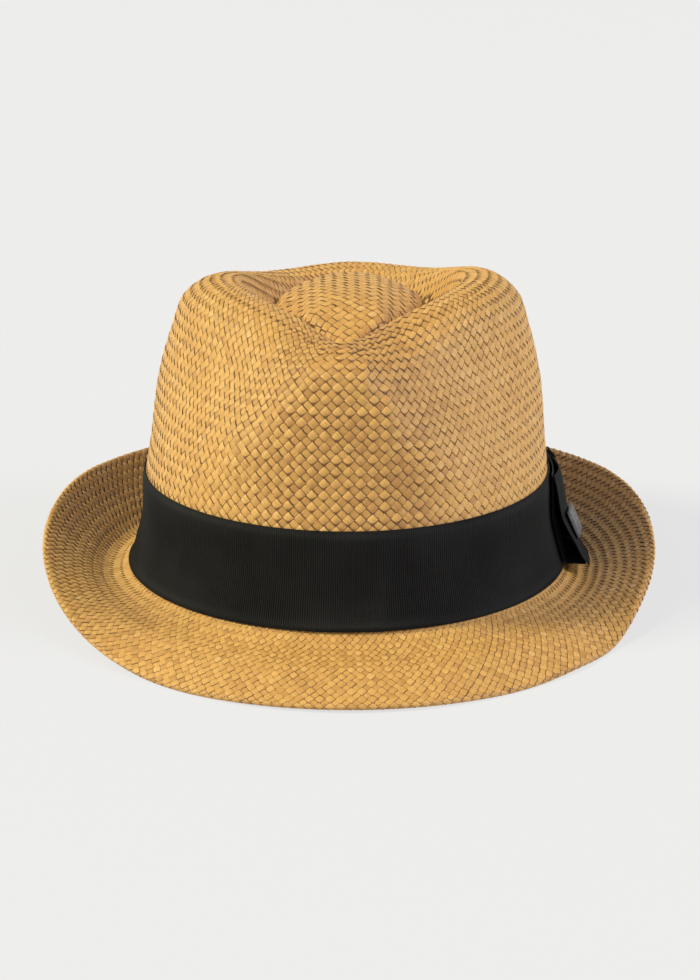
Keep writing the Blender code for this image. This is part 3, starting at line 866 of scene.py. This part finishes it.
def band_outset(places, angles):
    """How far the band lies off the straw: its end laps its start, and its middle ripples."""
    start = angles[0]
    lap = ease((angles - start - tau + radians(LAP_RISE_START)) / radians(LAP_RISE_REACH))
    ripple = 0.10 * np.sin(5 * angles + 0.7) + 0.07 * np.sin(11 * angles + 2.0)
    crease = 0.35 * np.exp(-((np.degrees(angles) - 360 - 9.5) / 1.6) ** 2)
    crease = crease + 0.35 * np.exp(-((np.degrees(angles) - 360 + 52) / 2.2) ** 2)
    share = (places - BAND_TOP) / (BAND_BOTTOM - BAND_TOP)
    middle = np.sin(pi * share)[:, None]
    return GAP + (RIBBON + GAP) * lap[None, :] + (0.1 + ripple + crease)[None, :] * middle


def wing_lift(places, angles):
    """How far the bow's top ribbon stands off the band: held at the keeper, bulging, then free."""
    low = np.clip((np.asarray(places) - BAND_TOP) / (BAND_BOTTOM - BAND_TOP), 0.0, 1.0)[:, None]
    crest = WING_CREST_TOP + (WING_CREST_BOTTOM - WING_CREST_TOP) * low**0.5
    end = WING_END_TOP + (WING_END_BOTTOM - WING_END_TOP) * low**0.85
    reach = np.abs(np.degrees(angles) - BOW_MIDDLE) / (BOW_MIDDLE - BOW_FRONT)
    swell = np.sin(pi / 2 * np.clip(reach / WING_CREST_AT, 0.0, 1.0))[None, :]
    give = ease((reach - WING_CREST_AT) / (1.0 - WING_CREST_AT))[None, :]
    return crest * swell * (1.0 - give) + end * give


band_start = radians(BAND_START)
band, band_flat = ribbed_sheet("hatband", np.linspace(BAND_TOP, BAND_BOTTOM, 15), band_start,
                               band_start + tau + radians(BAND_LAP), MEAN_REACH, band_outset,
                               lambda places, angles: 0.0)
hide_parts("hatband_ribbon")


def lining_lift(places, angles):
    """The bow's inner layer lies on the band, then turns out to the wings along its bottom."""
    beyond = np.maximum(np.cumsum(places >= BAND_BOTTOM) - 1, 0) / LINING_FOLD
    return LINING_SHARE * wing_lift(places, angles) * beyond[:, None]


under, under_flat = ribbed_sheet(
    "bow_lining", np.append(np.linspace(BAND_TOP + 0.02, BAND_BOTTOM, LINING_ROWS),
                            [BAND_BOTTOM] * LINING_FOLD),
    radians(BOW_FRONT + 1.0), radians(BOW_BACK - 1.0), MEAN_REACH,
    lambda places, angles: UNDER_OUT, lining_lift)
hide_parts("bow_under_layer")

wings, wings_flat = ribbed_sheet(
    "bow_loops", np.linspace(BAND_TOP + 0.05, BAND_BOTTOM + 0.05, 17), radians(BOW_FRONT),
    radians(BOW_BACK), BOW_REACH, lambda places, angles: WING_OUT, wing_lift, hang=WING_HANG)
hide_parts("bow_wings")

keeper, keeper_flat = ribbed_sheet(
    "bow_knot", np.linspace(BAND_TOP, BAND_BOTTOM + 0.02, 17), radians(BOW_MIDDLE - KEEPER_HALF),
    radians(BOW_MIDDLE + KEEPER_HALF), BOW_REACH,
    lambda places, angles: WING_OUT + RIBBON + GAP,
    lambda places, angles: wing_lift(places, angles) + GAP)
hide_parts("bow_keeper")

PLATE_LENGTH = 15.0
PLATE_HEIGHT = 12.0
PLATE_THICK = 1.0
PLATE_ANGLE = 86.0
PLATE_OFF_WING = 0.7
FACE_GAP = 0.02
FACE_THICK = 0.15
FACE_INSET = 0.25        # from the plate's edge to the face's
BORDER = 1.0
BORDER_RISE = 0.22
FLUTE_PITCH = 1.3
FLUTE_RISE = 0.16
FACE_GRID = (81, 121)


def badge_face():
    """The blank plate's outer face: a raised border round plain upright flutes."""
    angle = radians(PLATE_ANGLE)
    middle = (BAND_TOP + BAND_BOTTOM) / 2 - 0.1
    around = np.array([angle - 0.05, angle, angle + 0.05])
    places = np.array([middle - 0.2, middle, middle + 0.2])
    sheet = offset_sheet(places, around, WING_OUT + RIBBON, wing_lift(places, around))
    along = sheet[1, 2] - sheet[1, 0]
    along /= np.linalg.norm(along)
    out = np.cross(along, sheet[0, 1] - sheet[2, 1])
    out /= np.linalg.norm(out)
    up = np.cross(out, along)
    x = np.linspace(-0.5, 0.5, FACE_GRID[1])[None, :] * (PLATE_LENGTH - 2 * FACE_INSET)
    y = np.linspace(0.5, -0.5, FACE_GRID[0])[:, None] * (PLATE_HEIGHT - 2 * FACE_INSET)
    inside = np.minimum(PLATE_LENGTH / 2 - np.abs(x), PLATE_HEIGHT / 2 - np.abs(y)) - FACE_INSET
    border = BORDER_RISE * ease(inside / 0.25) * (1.0 - ease((inside - BORDER) / 0.3))
    flutes = FLUTE_RISE * np.abs(np.cos(pi * x / FLUTE_PITCH))
    flutes = flutes * ease((inside - BORDER - 0.3) / 0.4)
    height = (PLATE_OFF_WING + PLATE_THICK + FACE_GAP + FACE_THICK + border + flutes)[..., None]
    points = sheet[1, 1] + along * x[..., None] + up * y[..., None] + out * height
    thicken(add_piece("badge_fluted_face", on_table(points), grid_faces(*FACE_GRID), NICKEL), FACE_THICK, False)


badge_face()

# ---------------- the band inside the crown

SWEAT_IN = STRAW + GAP + 0.1
SWEAT_TOP = BAND_TOP + 0.4
BACK_SEAM = pi
REED_RADIUS = 0.8
REED_IN = SWEAT_IN + 1.1
REED_DROP = 1.9
REED_LOBES = 3
REED_LOBE_DEPTH = 0.10
REED_TWIST = 0.7         # radians from one point of the cord to the next
STITCH_PITCH = 3.2
STITCH_LENGTH = 2.2
STITCH_RADIUS = 0.22
STITCH_ARCH = 0.25       # how far a stitch's middle stands out over its ends
STITCH_SINK = 0.12
STITCH_ABOVE_EDGE = 0.45  # in sections
TWILL_PITCH = 0.85
TWILL_RISE = 0.07
ON_SWEATBAND = SWEAT_IN + SWEATBAND + GAP
JOIN_HALF = 2.6
JOIN_THICK = 0.5
TAB_TURN = 8.0
TAB_HALF = 3.2
TAB_THICK = 0.4


def cloth_patch(name, places, angles, depth, material, thickness, ridge=0.0):
    """A piece of cloth inside the hat, with ridges that run up it on the slant."""
    base = offset_sheet(places, angles, -depth)
    along, down = walked(base[0]), walked(base[:, 0])
    slant = (along[None, :] + down[:, None]) / TWILL_PITCH
    rise = ridge * np.cos(tau * slant)
    points = offset_sheet(places, angles, -depth - rise)
    piece = add_piece(name, on_table(points), grid_faces(len(places), len(angles)), material,
                      {"cloth": cloth_places(along, down)})
    return thicken(piece, thickness, False), (down[-1] * MM, along[-1] * MM)


def lobed_ring(name, line, radius, material, sides):
    """A closed cord along a line of points, its lobes twisting round it."""
    following = np.roll(line, -1, 0) - np.roll(line, 1, 0)
    following /= lengths(following)
    side = np.cross(following, [0.0, 0.0, 1.0])
    side /= lengths(side)
    over = np.cross(side, following)
    turn = np.arange(sides) * tau / sides
    twisted = np.arange(len(line))[:, None] * REED_TWIST
    swell = radius * (1.0 + REED_LOBE_DEPTH * np.cos(REED_LOBES * turn[None, :] - twisted))
    spoke = side[:, None] * np.cos(turn)[:, None] + over[:, None] * np.sin(turn)[:, None]
    ring = line[:, None] + spoke * swell[..., None]
    faces = grid_faces(len(line) + 1, sides, True)[:, [0, 3, 2, 1]] % (len(line) * sides)
    place = cloth_places(turn * radius, np.arange(len(line)) * 0.6)[:, [1, 0, 2]]
    return add_piece(name, on_table(ring), faces, material, {"cloth": place})


def stitches(name, place, depth, start, end, material):
    """A line of separate stitches, each one a short thread that dips in at its ends."""
    rough = offset_sheet([place], np.linspace(start, end, 2000), -depth)[0]
    reach = walked(rough)
    sides, steps = 6, 7
    share = np.linspace(-0.5, 0.5, steps)
    points, faces, places = [], [], []
    for number in range(int(reach[-1] / STITCH_PITCH)):
        at = (number + 0.5) * STITCH_PITCH + share * STITCH_LENGTH
        line = np.stack([np.interp(at, reach, rough[:, axis]) for axis in range(3)], -1)
        inward = line * [1.0, 1.0, 0.0]
        inward /= -lengths(inward)
        line = line + inward * (STITCH_ARCH * np.cos(pi * share) - STITCH_SINK)[:, None]
        turn = np.arange(sides) * tau / sides
        radius = STITCH_RADIUS * np.sqrt(np.maximum(1.0 - (1.9 * share) ** 4, 0.05))
        lift = np.array([0.0, 0.0, 1.0])
        ring = line[:, None] + radius[:, None, None] * (
            inward[:, None] * np.cos(turn)[:, None] + lift * np.sin(turn)[:, None])
        faces.append(grid_faces(steps, sides, True) + len(points) * steps * sides)
        points.append(ring.reshape(-1, 3))
        places.append(np.stack(np.broadcast_arrays(
            share[:, None] * STITCH_LENGTH, turn[None, :] * 0.5, number * 1.7), -1).reshape(-1, 3))
    return add_piece(name, on_table(np.concatenate(points)), np.concatenate(faces), material,
                     {"cloth": np.concatenate(places)})


seam = radians(0.35)
sweat_angles = BACK_SEAM + np.linspace(seam, tau - seam, 1400)
sweatband, sweatband_flat = cloth_patch(
    "sweatband_cloth", np.linspace(SWEAT_TOP, BAND_BOTTOM, 34), sweat_angles, SWEAT_IN, COTTON,
    SWEATBAND, TWILL_RISE)
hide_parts("sweatband")

ring_line = offset_sheet([BAND_BOTTOM], np.arange(900) * tau / 900, -REED_IN)[0]
reed = lobed_ring("sweatband_piping", ring_line - np.array([0.0, 0.0, REED_DROP]), REED_RADIUS,
                  REED, 12)
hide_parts("sweatband_reed")

thread = stitches("sweatband_stitches", BAND_BOTTOM - STITCH_ABOVE_EDGE,
                  SWEAT_IN + SWEATBAND + 0.1, BACK_SEAM + seam, BACK_SEAM + tau - seam, THREAD)
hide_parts("sweatband_thread")

# The tape over the join at the back, and the blank tab beside it.
join = np.radians(np.linspace(-JOIN_HALF, JOIN_HALF, 30))
tape, _ = cloth_patch(
    "sweatband_join_cover", np.linspace(BAND_TOP + 0.5, BAND_BOTTOM - 0.7, 60),
    BACK_SEAM + join, ON_SWEATBAND, TAPE, JOIN_THICK, 0.05)
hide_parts("sweatband_join_tape")
tab, _ = cloth_patch(
    "size_tab_cloth", np.linspace(BAND_TOP + 1.0, BAND_BOTTOM - 0.9, 60),
    BACK_SEAM + radians(TAB_TURN) + np.radians(np.linspace(-TAB_HALF, TAB_HALF, 36)),
    ON_SWEATBAND, TAB, TAB_THICK, 0.04)
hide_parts("size_tab")

# ---------------- carried-over CAD nodes

LOOKS = {"brim_wire": STEEL, "badge_plate": NICKEL}
for node, look in LOOKS.items():
    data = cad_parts[node].data
    data.materials.clear()
    data.materials.append(look)

# ---------------- floor, light and camera

# Lengths in this part are metres, except the lens, which is in millimetres.
CAMERA_TARGET_HEIGHT = 0.0041
CAMERA_DISTANCE = 1.6528
CAMERA_ELEVATION = 19.45
CAMERA_TURN = -0.38
CAMERA_LENS = 146.94
CAMERA_SHIFT_X = 0.0011
CAMERA_SHIFT_Y = 0.0643
CAMERA_NEAR = 0.05
CAMERA_FAR = 60.0
FLOOR_REACH = 6.0
FLOOR_TURN = 2.0
FLOOR_SIDES = 96
WALL_HEIGHT = 3.0
FLOOR_COLOR = (0.12, 0.12, 0.12, 1.0)
FLOOR_GLOW = 0.69
SKY_COLOR = (0.88, 0.95, 1.25, 1.0)
SKY_STRENGTH = 0.29


def floor():
    """A pale round floor that turns up smoothly into a low wall, so no view has a horizon."""
    s = Shader("studio_floor", 0.9, Specular_IOR_Level=0.0, Base_Color=FLOOR_COLOR,
               Emission_Color=(1.0, 1.0, 1.0, 1.0), Emission_Strength=FLOOR_GLOW)
    turn = np.radians(np.linspace(0.0, 90.0, 19))
    reach = np.concatenate([[0.0], FLOOR_REACH + FLOOR_TURN * np.sin(turn),
                            [FLOOR_REACH + FLOOR_TURN]])
    height = np.concatenate([[0.0], FLOOR_TURN * (1.0 - np.cos(turn)), [WALL_HEIGHT]])
    around = np.arange(FLOOR_SIDES) * tau / FLOOR_SIDES
    rows = np.stack(np.broadcast_arrays(reach[:, None] * np.cos(around),
                                        reach[:, None] * np.sin(around), height[:, None]), -1)
    centre, rings = rows[:1, 0], rows[1:].reshape(-1, 3)
    quads = grid_faces(len(rows) - 1, FLOOR_SIDES, True) + 1
    fan = [[0, 1 + (k + 1) % FLOOR_SIDES, 1 + k] for k in range(FLOOR_SIDES)]
    mesh = bpy.data.meshes.new("studio_floor")
    mesh.from_pydata(np.concatenate([centre, rings]).tolist(), [], fan + quads.tolist())
    mesh.polygons.foreach_set("use_smooth", [True] * len(mesh.polygons))
    mesh.materials.append(s.material)
    in_scene("studio_floor", mesh)


def aim(item, turn, elevation):
    """Turns a lamp or camera so that it looks down on the hat, and gives the way back to it."""
    a, e = radians(turn), radians(elevation)
    back = Vector((sin(a) * cos(e), -cos(a) * cos(e), sin(e)))
    item.rotation_euler = back.to_track_quat("Z", "Y").to_euler()
    return back


def sun(name, turn, elevation, strength, color, softness):
    """A far soft light, its turn from the front towards the wearer's left."""
    data = bpy.data.lights.new(name, "SUN")
    data.energy = strength
    data.color = color
    data.angle = radians(softness)
    aim(in_scene(name, data), turn, elevation)


def studio():
    """A pale sky, a warm key light on the wearer's right and a weaker fill on the left."""
    world = SCENE.world or bpy.data.worlds.new("studio")
    SCENE.world = world
    world.use_nodes = True
    background = world.node_tree.nodes["Background"]
    background.inputs["Color"].default_value = SKY_COLOR
    background.inputs["Strength"].default_value = SKY_STRENGTH
    sun("key", turn=-80.0, elevation=42.0, strength=3.38, color=(1.0, 0.955, 0.65), softness=14.0)
    sun("fill", turn=78.0, elevation=33.0, strength=1.84, color=(0.98, 0.95, 1.0), softness=24.0)
    SCENE.view_settings.view_transform = "Standard"


def camera():
    """The view from a little above the front."""
    data = bpy.data.cameras.new("camera")
    data.lens = CAMERA_LENS
    data.shift_x = CAMERA_SHIFT_X
    data.shift_y = CAMERA_SHIFT_Y
    data.clip_start = CAMERA_NEAR
    data.clip_end = CAMERA_FAR
    view = in_scene("camera", data)
    back = aim(view, CAMERA_TURN, CAMERA_ELEVATION)
    target = ON_TABLE.translation + Vector((0.0, 0.0, CAMERA_TARGET_HEIGHT))
    view.location = target + back * CAMERA_DISTANCE
    SCENE.camera = view


floor()
studio()
camera()
